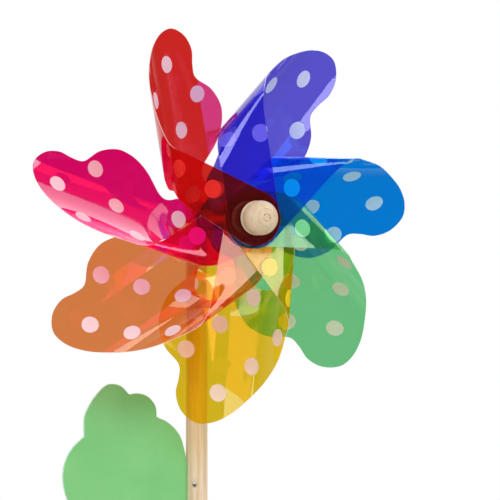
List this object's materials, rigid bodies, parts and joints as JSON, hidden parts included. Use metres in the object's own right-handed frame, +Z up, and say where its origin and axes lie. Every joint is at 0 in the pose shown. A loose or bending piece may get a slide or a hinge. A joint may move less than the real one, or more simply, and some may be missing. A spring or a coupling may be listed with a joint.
{
  "type": "pinwheel",
  "caption": "Curled-film pinwheel on a round wooden stick, with a turned wooden cap and one flat leaf; the wheel spins freely on its axle.",
  "frame": {"origin": "centre of the flat foot of the stick", "axes": "+Z up along the stick, -Y the way the wheel and its cap face, +X to the right of someone facing the wheel"},
  "size_m": [0.2746, 0.1313, 0.5726],
  "materials": {
    "film_red": "clear glossy",
    "film_violet": "clear glossy",
    "film_blue": "clear glossy",
    "film_green": "clear glossy",
    "film_yellow": "clear glossy",
    "film_orange": "clear glossy",
    "film_magenta": "clear glossy",
    "pale_wood": "smooth, unvarnished",
    "leaf_green": "satin",
    "steel": "bright drawn",
    "clear_plastic": "clear"
  },
  "bodies": {
    "stand": {"stick": "pale_wood", "leaf": "leaf_green", "leaf_brad_upper": "steel", "leaf_brad_lower": "steel", "axle": "steel", "rear_bead": "pale_wood", "cap_collar": "pale_wood", "cap": "pale_wood", "axle_end_cap": "pale_wood"},
    "rotor": {"blade_red": "film_red", "blade_violet": "film_violet", "blade_blue": "film_blue", "blade_green": "film_green", "blade_yellow": "film_yellow", "blade_orange": "film_orange", "blade_magenta": "film_magenta", "rear_outer_washer": "clear_plastic", "rear_inner_washer": "clear_plastic", "front_inner_washer": "clear_plastic", "front_outer_washer": "clear_plastic", "spacer_tube": "clear_plastic"}
  },
  "joints": [
    {"name": "rotor_spin", "type": "hinge", "parent": "stand", "child": "rotor", "pos_m": [0, -0.039, 0.445], "axis": [0, -1, 0], "continuous": true}
  ]
}
